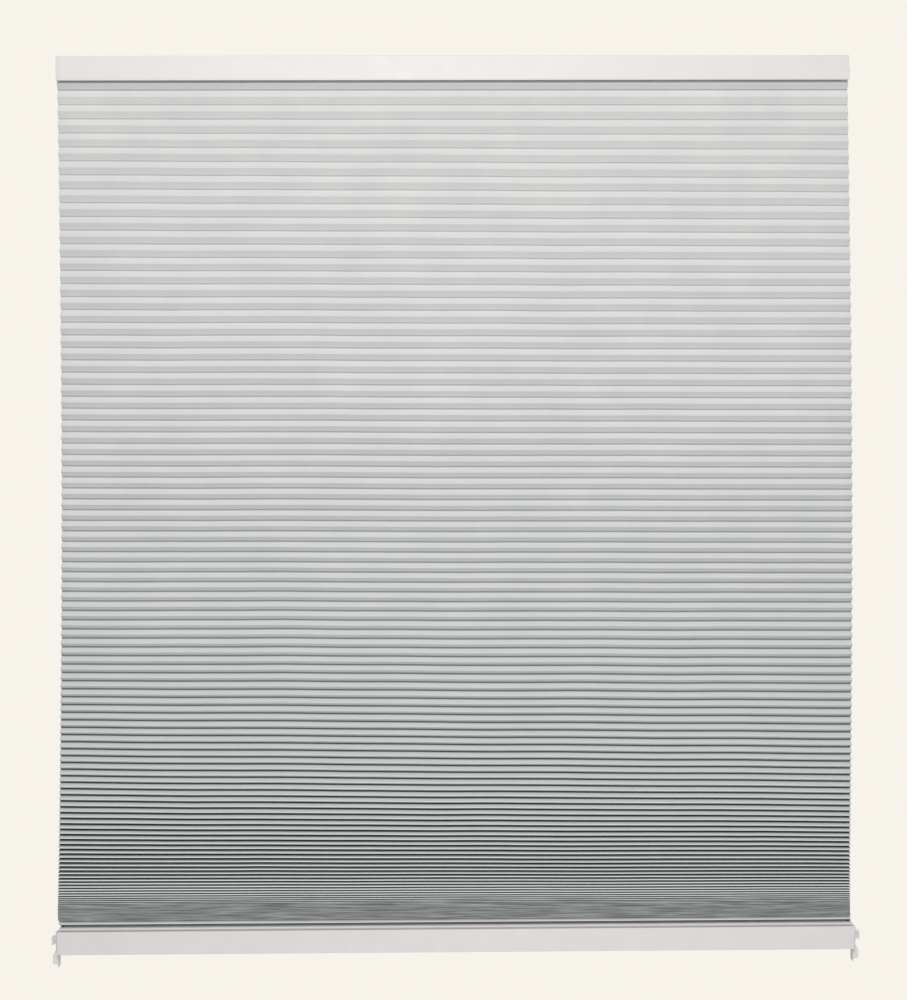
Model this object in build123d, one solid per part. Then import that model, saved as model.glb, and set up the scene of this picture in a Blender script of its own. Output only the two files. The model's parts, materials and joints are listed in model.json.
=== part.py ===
from build123d import *
import math
import os

# Honeycomb pleated blind, cordless spring lift, hanging at its full drop.
# Frame: millimetres, +X to the right seen from the room, +Y towards the wall, +Z up.
# Origin: midway between the two wall screws, on the wall plane.

# ---- driving dimensions ----
head_width = 1003.0  # over the head rail's end caps
rail_depth = 38.0  # front to back, both rails
rail_wall = 1.3  # aluminium extrusion
head_height = 31.0
foot_width = 1008.0  # over the bottom rail's end caps
foot_height = 33.2  # front face and sloped shoulder together
shoulder = 2.5  # width and height of the slope along the bottom rail's top edges
drop = 1069.0  # from the head rail's lower edge to the bottom rail's top
bracket_thick = 1.5  # spring steel
screw_below_top = 12.0  # wall screws under the head rail's top

cell_count = 114
facet = 11.0  # from a valley to a ridge along the cloth
web_width = 6.0  # glued strip between one cell and the next
closed_pitch = 1.1  # a cell that lies fully closed
last_open_cell = 100.0  # from here down every cell is closed
linear_part = 0.875  # the rest of the pitch's fall goes with the third power
first_tuck = 4.3  # the top cell is held this much flatter by the head rail
last_slack = 3.2  # the lowest cell stands this much more open than a closed one
cloth = 0.25
cloth_width = 1002.0
hem_width = 995.2  # the hems inside the rails, trimmed back for the end caps
hem_lift = 4.2  # the top cell starts this far inside the head rail

cord_x = 300.0
cord_radius = 0.45
cord_hole = 2.0
edge_round = 0.7  # long outer edges of both rails
gap = 0.3  # between pieces that move against each other
running = 0.05  # radial clearance of a wheel on its post

# ---- places worked out from them ----
mid_y = -bracket_thick - rail_depth / 2
rail_top = screw_below_top
head_low = rail_top - head_height
hem_top = head_low + hem_lift  # upper side of the lips that carry the cloth
deck = head_low - drop  # upper side of the bottom rail
foot_low = deck - foot_height
half = rail_depth / 2

# strip channel, the same in both rails
lip = 1.2
slot_half = 9.5
strip_width = 26.0
strip_thick = 1.2
channel_high = 3.6
channel_half = 14.5

os.makedirs("parts", exist_ok=True)


def save(shape, name, colour):
    solids = shape.solids()
    shape = solids[0] if len(solids) == 1 else Compound(children=list(solids))
    shape.label = name
    shape.color = Color(*colour)
    export_step(shape, f"parts/{name}.step")


def box(x0, x1, y0, y1, z0, z1):
    return Pos((x0 + x1) / 2, (y0 + y1) / 2, (z0 + z1) / 2) * Box(x1 - x0, y1 - y0, z1 - z0)


def rod(x, y, z0, z1, radius):
    """Upright round bar."""
    return Pos(x, y, (z0 + z1) / 2) * Cylinder(radius, z1 - z0)


def cross_rod(x, z, y0, y1, radius):
    """Round bar from front to back."""
    return Pos(x, (y0 + y1) / 2, z) * Rot(90, 0, 0) * Cylinder(radius, y1 - y0)


def prism(points, x0, x1, holes=()):
    """A section of (y, z) points, run along X."""
    outer = Wire.make_polygon([Vector(x0, y, z) for y, z in points], close=True)
    inner = [Wire.make_polygon([Vector(x0, y, z) for y, z in h], close=True) for h in holes]
    return Solid.extrude(Face(outer, inner), Vector(x1 - x0, 0, 0))


def mirrored(points):
    """Points given for the back half, run down, closed by their mirror image in the mid plane."""
    return [(mid_y + y, z) for y, z in points] + [(mid_y - y, z) for y, z in reversed(points)]


def round_long_edges(body, corners):
    """Rounds the edges along X at these (y, z) corners of the back half, and their mirror images."""
    places = [(mid_y + sign * y, z) for y, z in corners for sign in (-1, 1)]
    chosen = []
    for edge in body.edges().filter_by(Axis.X):
        spot = edge.center()
        if any(math.hypot(spot.Y - y, spot.Z - z) < 0.01 for y, z in places):
            chosen.append(edge)
    return fillet(chosen, edge_round)


def rectangle(y, z0, z1):
    """A section centred on the mid plane, y to each side."""
    return [(mid_y - y, z0), (mid_y + y, z0), (mid_y + y, z1), (mid_y - y, z1)]


white = (0.90, 0.89, 0.88)
plastic = (0.86, 0.86, 0.85)
steel = (0.62, 0.63, 0.65)
cloth_colour = (0.80, 0.81, 0.80)

# ---- head rail: box section, open at the top between two lips, strip channel below ----
floor_low = hem_top + channel_high
floor_high = floor_low + rail_wall
room_top = rail_top - rail_wall
inside = half - rail_wall
top_open = 12.0  # half the opening between the top lips
cap_plate = 3.5
cap_corner = 0.8  # rounding of a cap's outer edges
plug_length = 9.0
plug_wall = 1.9
cell_room = 14.8  # half the notch in a cap that the cells fold up through
rail_half = head_width / 2 - cap_plate


def head_rail():
    body = prism(mirrored([
        (half, rail_top), (half, head_low), (inside, head_low), (inside, hem_top - lip),
        (slot_half, hem_top - lip), (slot_half, hem_top), (inside, hem_top), (inside, floor_low),
    ]), -rail_half, rail_half)
    body = round_long_edges(body, [(half, rail_top), (half, head_low)])
    body -= prism(rectangle(inside, floor_high, room_top), -rail_half - 1, rail_half + 1)
    body -= prism(rectangle(top_open, room_top - 1, rail_top + 1), -rail_half - 1, rail_half + 1)
    # fine groove above the bead along the front edge's foot
    front = mid_y - half
    body -= box(-rail_half - 1, rail_half + 1, front - 1, front + 0.35,
                head_low + 1.6, head_low + 2.0)
    for side in (-1, 1):
        body -= rod(side * cord_x, mid_y, floor_low - 1, floor_high + 1, cord_hole)
    return body


save(head_rail(), "head_rail", white)


def head_cap(side):
    outer = side * head_width / 2
    inner = side * rail_half
    lo, hi = min(outer, inner), max(outer, inner)
    plate = box(lo, hi, mid_y - half, mid_y + half, head_low, rail_top)
    edges = plate.edges().filter_by(Axis.Y).group_by(Axis.X)[0 if side < 0 else -1]
    plate = fillet(edges, cap_corner)
    plate -= box(lo - 1, hi + 1, mid_y - cell_room, mid_y + cell_room, head_low - 1, hem_top + 0.2)
    plug_from, plug_to = sorted((inner, inner - side * plug_length))
    fit, wall = 0.1, 0.1 + plug_wall
    plug = box(plug_from, plug_to, mid_y - inside + fit, mid_y + inside - fit,
               floor_high + fit, room_top - fit)
    plug -= box(plug_from - 1, plug_to + 1, mid_y - inside + wall, mid_y + inside - wall,
                floor_high + wall, room_top - wall)
    cap = plate + plug
    if side > 0:
        # low catch on the right-hand cap's outer face
        catch = box(outer - 0.5, outer + 0.8, mid_y - half + 2, mid_y - half + 14,
                    hem_top + 2, head_low + 16)
        cap += fillet(catch.edges().filter_by(Axis.Y).group_by(Axis.X)[-1], 0.5)
    return cap


save(head_cap(-1), "head_end_cap_left", plastic)
save(head_cap(1), "head_end_cap_right", plastic)

# ---- mounting brackets: clip on the rail's top lips, screwed to wall or ceiling ----
bracket_x = 400.0
bracket_half = 13.0
screw_hole = 2.25
plate_front = -24.0


def bracket(side):
    x = side * bracket_x
    x0, x1 = x - bracket_half, x + bracket_half
    top, t = rail_top, bracket_thick
    body = box(x0, x1, plate_front, 0, top, top + t)
    body += box(x0, x1, -t, 0, -9, top + t)
    # front tongue: down through the opening and forward under the front lip
    body += box(x0, x1, plate_front, plate_front + t, room_top - t, top)
    body += box(x0, x1, mid_y - top_open - 4, plate_front + t, room_top - t, room_top)
    # rear catch under the rear lip, cut from the middle of the plate
    catch_y = mid_y + top_open - t
    body += box(x - 5, x + 5, catch_y, catch_y + t, room_top - t, top)
    body += box(x - 5, x + 5, catch_y, catch_y + t + 4, room_top - t, room_top)
    body -= cross_rod(x, 0, -t - 1, 1, screw_hole)
    body -= rod(x, -16, top - 1, top + t + 1, screw_hole)
    return body


save(bracket(-1), "mounting_bracket_left", steel)
save(bracket(1), "mounting_bracket_right", steel)

# ---- strips that hold the cloth's first and last cell in the two channels ----
strip_half = 497.5


def strip(z0):
    body = box(-strip_half, strip_half, mid_y - strip_width / 2, mid_y + strip_width / 2,
               z0, z0 + strip_thick)
    for side in (-1, 1):
        body -= rod(side * cord_x, mid_y, z0 - 1, z0 + strip_thick + 1, cord_hole)
    return body


head_strip_low = hem_top + cloth
foot_strip_low = deck - lip - 2 * gap - cloth - strip_thick
save(strip(head_strip_low), "cloth_head_strip", plastic)
save(strip(foot_strip_low), "cloth_foot_strip", plastic)

# ---- honeycomb cloth: one bonded pack of cells, each pitch set by the weight below it ----
cloth_low = deck + gap
web = web_width / 2
hem_half = strip_width / 2 + gap + cloth


def cell_pitches():
    """Heights of the cells from the top: long where the cloth hangs free, closed on the stack."""
    shares = []
    for n in range(cell_count):
        u = min(1.0, (n + 0.5) / last_open_cell)
        shares.append(1 - linear_part * u - (1 - linear_part) * u**3)
    spare = hem_top + first_tuck - last_slack - cloth_low - cell_count * closed_pitch
    pitches = [closed_pitch + spare * s / sum(shares) for s in shares]
    pitches[0] -= first_tuck
    pitches[-1] += last_slack
    return pitches


def ridge_depth(pitch):
    """How far a ridge stands out from its valleys."""
    return math.sqrt(facet**2 - (pitch / 2) ** 2)


def honeycomb():
    z = hem_top
    # hem loop round the head strip, then down the back
    side = [(hem_half, head_strip_low + strip_thick + gap + cloth), (hem_half, z), (web, z)]
    hem_in = hem_half - cloth
    cells = [rectangle(hem_in, head_strip_low, head_strip_low + strip_thick + gap)]
    for pitch in cell_pitches():
        depth = ridge_depth(pitch)
        side += [(web + depth, z - pitch / 2), (web, z - pitch)]
        # the cell's hollow: the same hexagon, one thickness of cloth further in
        nose = depth - cloth * facet / (pitch / 2)
        top = z - cloth * facet / depth
        low = z - pitch + cloth * facet / depth
        cells.append([
            (mid_y - web, top), (mid_y + web, top), (mid_y + web + nose, z - pitch / 2),
            (mid_y + web, low), (mid_y - web, low), (mid_y - web - nose, z - pitch / 2),
        ])
        z -= pitch
    # glued neck through the bottom rail's slot, and the hem loop round the foot strip
    foot_in_top = foot_strip_low + strip_thick + gap
    loop_top = foot_in_top + cloth
    loop_low = foot_strip_low - gap - cloth
    side += [(web, loop_top), (hem_half, loop_top), (hem_half, loop_low)]
    cells.append(rectangle(hem_in, foot_strip_low - gap, foot_in_top))
    body = prism(mirrored(side), -cloth_width / 2, cloth_width / 2, cells)
    for x0, x1 in ((-cloth_width, -hem_width / 2), (hem_width / 2, cloth_width)):
        body -= box(x0, x1, mid_y - half, mid_y + half, hem_top, head_low + half)
        body -= box(x0, x1, mid_y - half, mid_y + half, foot_low, cloth_low)
    for x in (-cord_x, cord_x):
        body -= rod(x, mid_y, loop_low - 1, hem_top + 5, cord_hole)
    return body


save(honeycomb(), "honeycomb_cloth", cloth_colour)

# ---- bottom rail: closed front with sloped shoulders, strip channel on top ----
foot_cap_plate = 4.5
foot_half = foot_width / 2 - foot_cap_plate
shoulder_low = deck - shoulder
foot_floor = deck - lip - channel_high
foot_inside_low = foot_low + rail_wall
slant_drop = 4.4  # the slant starts this far below the shoulder
slant_in = 2.4
ballast_high = 4.0
ballast_half = 440.0
ballast_side = 7.0


def bottom_rail():
    body = prism(mirrored([
        (slot_half, deck), (half - shoulder, deck), (half, shoulder_low), (half, foot_low),
    ]), -foot_half, foot_half)
    corners = [(half - shoulder, deck), (half, shoulder_low), (half, foot_low)]
    body = round_long_edges(body, corners)
    channel = rectangle(channel_half, foot_floor, deck - lip)
    body -= prism(channel, -foot_half - 1, foot_half + 1)
    body -= prism(rectangle(slot_half, deck - lip - 1, deck + 1), -foot_half - 1, foot_half + 1)
    hollow = rectangle(inside, foot_inside_low, foot_floor - rail_wall)
    body -= prism(hollow, -foot_half - 1, foot_half + 1)
    # shadow groove between the shoulder and the front face
    front = mid_y - half
    body -= box(-foot_half - 1, foot_half + 1, front - 1, front + 0.7,
                shoulder_low - 1.4, shoulder_low - 0.5)
    for side in (-1, 1):
        hole_low = foot_floor - rail_wall - 1
        body -= rod(side * cord_x, mid_y, hole_low, foot_floor + 1, cord_hole)
    return body


save(bottom_rail(), "bottom_rail", white)


def foot_cap(side):
    """End cap, its outer face slanted above the side clip."""
    inner = foot_half
    outer = foot_width / 2
    face = [(inner, foot_low), (outer, foot_low), (outer, shoulder_low - slant_drop),
            (outer - slant_in, deck), (inner, deck)]
    wire = Wire.make_polygon([Vector(x, mid_y - half, z) for x, z in face], close=True)
    plate = Solid.extrude(Face(wire), Vector(0, rail_depth, 0))
    # the plate follows the rail's shoulders front and back
    for end in (-1, 1):
        corner = [(half + 1, shoulder_low), (half, shoulder_low), (half - shoulder, deck),
                  (half - shoulder, deck + 1), (half + 1, deck + 1)]
        plate -= prism([(mid_y + end * y, z) for y, z in corner], inner - 1, outer + 1)
    fit, wall = 0.1, 0.1 + plug_wall
    ceiling = foot_floor - rail_wall
    plug = box(inner - plug_length, inner, mid_y - inside + fit, mid_y + inside - fit,
               foot_inside_low + fit, ceiling - fit)
    plug -= box(inner - plug_length - 1, inner - wall, mid_y - inside + wall,
                mid_y + inside - wall, foot_inside_low + wall, ceiling - wall)
    cap = plate + plug
    return cap if side > 0 else mirror(cap, Plane.YZ)


save(foot_cap(-1), "bottom_end_cap_left", plastic)
save(foot_cap(1), "bottom_end_cap_right", plastic)
save(box(-ballast_half, ballast_half, mid_y - ballast_side, mid_y + ballast_side,
         foot_inside_low, foot_inside_low + ballast_high), "ballast_bar", steel)

# ---- side clips: plate on the cap, hook outside, springy leg that flares below the rail ----
clip_plate = 3.8
clip_reach = 5.8
clip_depth = 14.0
plate_above = 4.0  # the plate ends this far above the rail's underside
hook_depth = 6.0
hook_high = 10.8
hook_bar = 2.6
leg_below = 18.5
blade = 1.2  # thin inner edge of the leg
pad_out = 7.8
pad_low = 15.3


def side_clip(side):
    x = foot_width / 2
    low = foot_low
    plate_top = shoulder_low - 5.2
    hook_top = shoulder_low - 10.9
    hook_low = hook_top - hook_high
    out = x + clip_plate + clip_reach
    bar = out - hook_bar
    plate = [(x, low + plate_above), (x + clip_plate, low + plate_above + 2),
             (x + clip_plate, plate_top), (x, plate_top)]
    hook = [(x + 1, hook_top - hook_bar), (bar, hook_top - hook_bar), (bar, hook_low),
            (out, hook_low), (out, hook_top - 1), (out - 1, hook_top), (x + 1, hook_top)]
    hook_web = [(x + 1, hook_low + 1), (out - 1, hook_low + 1), (out - 1, hook_top - 4.5),
                (x + 1, hook_top - 4.5)]
    leg = [(x, low + plate_above + 3), (x, low - leg_below), (x + blade, low - leg_below),
           (x + blade, low + plate_above + 3)]
    flare = [(x + 0.5, low + 6), (x + 3.2, low + 5), (x + 5.2, low + 1), (x + 6.6, low - 3.4),
             (x + pad_out, low - 3.9), (x + pad_out, low - 13.4), (x + pad_out - 1.3, low - pad_low),
             (x + 0.5, low - pad_low)]

    def slab(points, depth):
        wire = Wire.make_polygon([Vector(a, mid_y - depth / 2, b) for a, b in points], close=True)
        return Solid.extrude(Face(wire), Vector(0, depth, 0))

    body = slab(plate, clip_depth) + slab(hook, hook_depth) + slab(leg, clip_depth)
    body += slab(hook_web, hook_depth / 3) + slab(flare, clip_depth - 4)
    return body if side > 0 else mirror(body, Plane.YZ)


save(side_clip(-1), "side_clip_left", plastic)
save(side_clip(1), "side_clip_right", plastic)

# ---- spring motor in the head rail: two cord spools geared to a constant-torque flat spring ----
motor_half = 66.0
tray_wall = 1.2
tray_floor = floor_high + 1.5
cover_low = room_top - 2.6
cover_high = cover_low + 1.5
post = 2.5
gear_teeth = 28
gear_pitch = 14.0  # pitch radius, so posts stand twice this apart
gear_low = tray_floor + gap
gear_high = gear_low + 3.0
barrel_high = cover_low - 1.3
flange_high = cover_low - gap
spool_radius = 10.25
cord_run = spool_radius + gap + cord_radius  # spool's axis to the cord's centreline
cord_z = 2.0
drum_hub = 6.5
wheel_x = [-3 * gear_pitch, -gear_pitch, gear_pitch, 3 * gear_pitch]
boss_x = 62.0
boss_y = mid_y + 10.0


def motor_base():
    y = inside - 0.2
    body = box(-motor_half, motor_half, mid_y - y, mid_y + y, floor_high, cover_low)
    body -= box(-motor_half + tray_wall, motor_half - tray_wall, mid_y - y + tray_wall,
                mid_y + y - tray_wall, tray_floor, cover_low + 1)
    # slots in both ends for the cords
    body -= box(-motor_half - 1, motor_half + 1, mid_y - 14, mid_y - 7, cord_z - 2, cord_z + 2)
    for x in wheel_x:
        body += rod(x, mid_y, tray_floor - 0.5, cover_low, post)
    for x in (-boss_x, boss_x):
        body += rod(x, boss_y, tray_floor - 0.5, cover_low, 2.5)
        body -= rod(x, boss_y, tray_floor + 2, cover_low + 1, 1.0)
    return body


def motor_cover():
    y = inside - 0.2
    body = box(-motor_half, motor_half, mid_y - y, mid_y + y, cover_low, cover_high)
    for x in (-boss_x, boss_x):
        body -= rod(x, boss_y, cover_low - 1, cover_high + 1, 1.0)
    return body


def cover_screws():
    screws = []
    for x in (-boss_x, boss_x):
        screw = rod(x, boss_y, cover_low - 8, cover_high, 1.0)
        screw += rod(x, boss_y, cover_high, cover_high + 0.9, 2.2)
        screw -= box(x - 1.5, x + 1.5, boss_y - 0.25, boss_y + 0.25,
                     cover_high + 0.4, cover_high + 2)
        screws.append(screw)
    return Compound(children=screws)


def gear(x, phase):
    """Spur gear on a post, its first tooth turned by phase from +X."""
    step = 2 * math.pi / gear_teeth
    root, tip = gear_pitch - 1.25, gear_pitch + 0.8
    tooth = [(root, -0.0855), (tip, -0.0233), (tip, 0.0233), (root, 0.0855)]
    points = []
    for n in range(gear_teeth):
        for radius, turn in tooth:
            a = phase + n * step + turn
            points.append((x + radius * math.cos(a), mid_y + radius * math.sin(a)))
    wire = Wire.make_polygon([Vector(a, b, gear_low) for a, b in points], close=True)
    return Solid.extrude(Face(wire), Vector(0, 0, gear_high - gear_low))


def wheel(x, phase, radius, flange):
    """Gear, barrel and top flange in one moulding, bored for its post."""
    body = rod(x, mid_y, gear_high, barrel_high, radius)
    body += rod(x, mid_y, barrel_high, flange_high, flange)
    if phase is not None:
        body += gear(x, phase)
    return body - rod(x, mid_y, gear_low - 1, flange_high + 1, post + running)


half_tooth = math.pi / gear_teeth
save(motor_base(), "motor_base", plastic)
save(motor_cover(), "motor_cover", plastic)
save(cover_screws(), "cover_screws", steel)
save(wheel(wheel_x[0], 0, spool_radius, 14.0), "cord_spool_left", plastic)
save(wheel(wheel_x[1], half_tooth, drum_hub, 13.0), "output_drum", plastic)
save(wheel(wheel_x[3], half_tooth, spool_radius, 14.0), "cord_spool_right", plastic)
idler_bore = rod(wheel_x[2], mid_y, gear_low - 1, gear_high + 1, post + running)
save(gear(wheel_x[2], 0) - idler_bore, "idler_gear", plastic)
storage = wheel(wheel_x[2], None, drum_hub, 13.0)
storage -= box(0, 2 * wheel_x[2], mid_y - 14, mid_y + 14, gear_low, gear_high + gap)
save(storage, "storage_drum", plastic)


def flat_spring():
    """Steel ribbon: nearly all of it on the output drum, a few turns left on the storage drum."""
    low, high = gear_high + 0.8, barrel_high - 0.6
    thick = 0.4
    coils = [(wheel_x[1], 12.3), (wheel_x[2], 8.2)]
    body = None
    for x, radius in coils:
        coil = rod(x, mid_y, low, high, radius) - rod(x, mid_y, low - 1, high + 1, drum_hub + gap)
        body = coil if body is None else body + coil
    # the crossing stretch lies along the coils' inner tangent
    lean = math.acos((coils[0][1] + coils[1][1] - thick) / (2 * gear_pitch))
    nx, ny = math.cos(lean), math.sin(lean)
    path = []
    for (x, radius), sign in zip(coils, (1, -1)):
        reach = radius - thick / 2
        path.append((x + sign * reach * nx, mid_y + sign * reach * ny))
    corners = []
    for n, way in ((0, 1), (1, 1), (1, -1), (0, -1)):
        x, y = path[n]
        corners.append(Vector(x + way * nx * thick / 2, y + way * ny * thick / 2, low))
    strap = Solid.extrude(Face(Wire.make_polygon(corners, close=True)), Vector(0, 0, high - low))
    return body + strap


save(flat_spring(), "flat_spring", steel)

# ---- cord guides: a roller over each cord hole turns the cord down into the cells ----
roller_radius = 4.0
turn_radius = roller_radius + gap + cord_radius
roller_x = cord_x - turn_radius
roller_z = cord_z - turn_radius
pin_radius = 1.0
cheek_in = 2.3
cheek_out = 5.3


def cord_guide(side):
    x0, x1 = sorted((side * (roller_x - 8), side * (cord_x + 6)))
    top = roller_z + 3.5
    body = box(x0, x1, mid_y - cheek_out, mid_y + cheek_out, floor_high, top)
    body -= box(x0 - 1, x1 + 1, mid_y - cheek_in, mid_y + cheek_in, floor_high + 1.2, top + 1)
    body -= rod(side * cord_x, mid_y, floor_high - 1, floor_high + 2, cord_hole)
    # foot flanges that slide between the rail's walls
    for end in (-1, 1):
        y0, y1 = sorted((mid_y + end * cheek_out, mid_y + end * (inside - 0.2)))
        body += box(x0, x1, y0, y1, floor_high, floor_high + 1.5)
    return body - cross_rod(side * roller_x, roller_z, mid_y - 6, mid_y + 6, pin_radius)


def roller(side):
    body = cross_rod(side * roller_x, roller_z, mid_y - 2, mid_y + 2, roller_radius)
    return body - cross_rod(side * roller_x, roller_z, mid_y - 3, mid_y + 3, pin_radius + running)


def lift_cord(side):
    """From its spool, over the roller and down through every cell to a knot under the anchor."""
    start = Vector(side * wheel_x[3], mid_y - cord_run, cord_z)
    corner = Vector(side * cord_x, mid_y, cord_z)
    end = Vector(side * cord_x, mid_y, anchor_low - 1.0)
    path = FilletPolyline(start, corner, end, radius=turn_radius)
    section = Plane(origin=path @ 0, z_dir=path % 0) * Circle(cord_radius)
    cord = sweep(section, path=path)
    return cord + Pos(end.X, end.Y, end.Z - 0.5) * Sphere(1.2)


anchor_high = foot_floor - rail_wall
anchor_low = anchor_high - 4.0


def cord_anchor(side):
    x = side * cord_x
    body = rod(x, mid_y, anchor_low, anchor_high, 4.0)
    return body - rod(x, mid_y, anchor_low - 1, anchor_high + 1, cord_radius + gap)


for side, hand in ((-1, "left"), (1, "right")):
    save(cord_guide(side), f"cord_guide_{hand}", plastic)
    save(roller(side), f"guide_roller_{hand}", plastic)
    pin = cross_rod(side * roller_x, roller_z, mid_y - cheek_out, mid_y + cheek_out, pin_radius)
    save(pin, f"guide_pin_{hand}", steel)
    save(lift_cord(side), f"lift_cord_{hand}", white)
    save(cord_anchor(side), f"cord_anchor_{hand}", plastic)
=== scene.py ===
# Honeycomb pleated blind with white rails, hanging at its full drop
import bpy
import bmesh
import json
import math
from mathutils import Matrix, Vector


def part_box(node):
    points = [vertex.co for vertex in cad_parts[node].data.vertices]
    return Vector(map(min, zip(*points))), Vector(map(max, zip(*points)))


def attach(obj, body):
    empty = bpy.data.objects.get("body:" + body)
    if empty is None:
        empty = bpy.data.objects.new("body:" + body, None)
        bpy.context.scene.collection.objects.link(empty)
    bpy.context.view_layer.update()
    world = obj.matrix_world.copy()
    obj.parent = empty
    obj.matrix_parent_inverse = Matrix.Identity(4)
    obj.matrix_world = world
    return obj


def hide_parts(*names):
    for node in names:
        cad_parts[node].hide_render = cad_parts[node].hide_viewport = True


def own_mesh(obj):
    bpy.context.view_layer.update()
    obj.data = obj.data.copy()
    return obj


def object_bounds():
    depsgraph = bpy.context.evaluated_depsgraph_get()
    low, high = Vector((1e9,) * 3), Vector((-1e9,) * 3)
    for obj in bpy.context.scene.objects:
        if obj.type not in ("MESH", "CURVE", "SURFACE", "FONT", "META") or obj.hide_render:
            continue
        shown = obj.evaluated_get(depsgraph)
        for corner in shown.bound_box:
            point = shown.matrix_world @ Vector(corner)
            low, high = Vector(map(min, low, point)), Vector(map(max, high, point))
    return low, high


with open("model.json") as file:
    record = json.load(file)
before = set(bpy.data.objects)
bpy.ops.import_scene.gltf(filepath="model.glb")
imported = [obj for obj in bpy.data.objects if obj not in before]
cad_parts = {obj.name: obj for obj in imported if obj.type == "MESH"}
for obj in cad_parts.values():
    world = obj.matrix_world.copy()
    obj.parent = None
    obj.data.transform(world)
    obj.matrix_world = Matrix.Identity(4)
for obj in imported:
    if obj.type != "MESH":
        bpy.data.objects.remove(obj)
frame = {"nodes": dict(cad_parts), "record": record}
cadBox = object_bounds()
print("frame loaded:", len(frame["nodes"]), "nodes")

# places that several pieces share, all read from the frame
headLow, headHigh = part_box("head_rail")
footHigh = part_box("bottom_rail")[1]
clothLow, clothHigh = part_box("honeycomb_cloth")
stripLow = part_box("cloth_head_strip")[0]
midY = (headLow.y + headHigh.y) / 2
deckZ = footHigh.z

socketKinds = {"float": "NodeSocketFloat", "int": "NodeSocketInt",
               "vector": "NodeSocketVector", "geometry": "NodeSocketGeometry",
               "material": "NodeSocketMaterial"}


# node helpers, for geometry trees and shader groups alike
def newTree(name, treeType, inputs, outputs):
    # inputs are (name, kind, default), outputs (name, kind)
    tree = bpy.data.node_groups.new(name, treeType)
    for label, kind, value in inputs:
        socket = tree.interface.new_socket(name=label, in_out="INPUT",
                                           socket_type=socketKinds[kind])
        if value is not None:
            socket.default_value = value
    for label, kind in outputs:
        tree.interface.new_socket(name=label, in_out="OUTPUT", socket_type=socketKinds[kind])
    start, end = tree.nodes.new("NodeGroupInput"), tree.nodes.new("NodeGroupOutput")
    return tree, start.outputs, end.inputs


def feed(tree, source, socket):
    # a socket is linked, anything else is a fixed value
    if isinstance(source, bpy.types.NodeSocket):
        tree.links.new(source, socket)
    else:
        socket.default_value = source


def calc(tree, operation, *values, clamp=False):
    node = tree.nodes.new("ShaderNodeMath")
    node.operation, node.use_clamp = operation, clamp
    for n, value in enumerate(values):
        feed(tree, value, node.inputs[n])
    return node.outputs[0]


def addNode(tree, kind, settings=None, **inputs):
    # inputs are given by socket name, with spaces as underscores
    node = tree.nodes.new(kind)
    for key, value in (settings or {}).items():
        setattr(node, key, value)
    for key, value in inputs.items():
        feed(tree, value, node.inputs[key.replace("_", " ")])
    return node


def joinXYZ(tree, x, y, z):
    node = tree.nodes.new("ShaderNodeCombineXYZ")
    for socket, value in zip(node.inputs, (x, y, z)):
        feed(tree, value, socket)
    return node.outputs[0]


def mixColour(tree, factor, first, second):
    node = tree.nodes.new("ShaderNodeMix")
    node.data_type, node.blend_type = "RGBA", "MIX"
    feed(tree, factor, node.inputs["Factor"])
    feed(tree, first, node.inputs[6])
    feed(tree, second, node.inputs[7])
    return node.outputs[2]


def remap(tree, value, fromLow, fromHigh, toLow, toHigh):
    node = tree.nodes.new("ShaderNodeMapRange")
    for socket, v in zip(node.inputs, (value, fromLow, fromHigh, toLow, toHigh)):
        feed(tree, v, socket)
    return node.outputs[0]


# camera: level, a little left of the middle, so the left side stands slightly larger
cameraSetup = dict(
    distance=2.60,  # from the rails' front faces
    aside=-0.041,
    belowTop=0.461,  # eye level under the head rail's top
    roll=math.radians(-0.22),
    lens=74.08,
    shiftX=-0.0015,
    shiftY=-0.0797,
)


def makeCamera(s):
    data = bpy.data.cameras.new("camera")
    camera = bpy.data.objects.new("camera", data)
    bpy.context.collection.objects.link(camera)
    data.lens, data.shift_x, data.shift_y = s["lens"], s["shiftX"], s["shiftY"]
    camera.location = (s["aside"], headLow.y - s["distance"], headHigh.z - s["belowTop"])
    yaw = math.atan2(-s["aside"], s["distance"])
    camera.rotation_mode = "XYZ"
    camera.rotation_euler = (math.radians(90), 0, -yaw)
    camera.rotation_euler.rotate_axis("Z", s["roll"])
    bpy.context.scene.camera = camera


makeCamera(cameraSetup)
print("camera placed")


# shared surface effects
def makeGrain():
    # fine even grain of powder coat and moulded plastic
    tree, given, result = newTree(
        "surfaceGrain", "ShaderNodeTree",
        [("Vector", "vector", None), ("Size", "float", 0.0006), ("Unevenness", "float", 0.5)],
        [("Height", "float"), ("Mask", "float")])
    scale = calc(tree, "DIVIDE", 1.0, given["Size"])
    fine = addNode(tree, "ShaderNodeTexNoise", None, Vector=given["Vector"], Scale=scale,
                   Detail=2.0)
    broad = addNode(tree, "ShaderNodeTexNoise", None, Vector=given["Vector"],
                    Scale=calc(tree, "MULTIPLY", scale, 0.02), Detail=3.0)
    feed(tree, fine.outputs["Fac"], result["Height"])
    blended = calc(tree, "MULTIPLY_ADD", broad.outputs["Fac"], given["Unevenness"],
                   calc(tree, "MULTIPLY", fine.outputs["Fac"],
                        calc(tree, "SUBTRACT", 1.0, given["Unevenness"])))
    feed(tree, blended, result["Mask"])
    return tree


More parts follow.
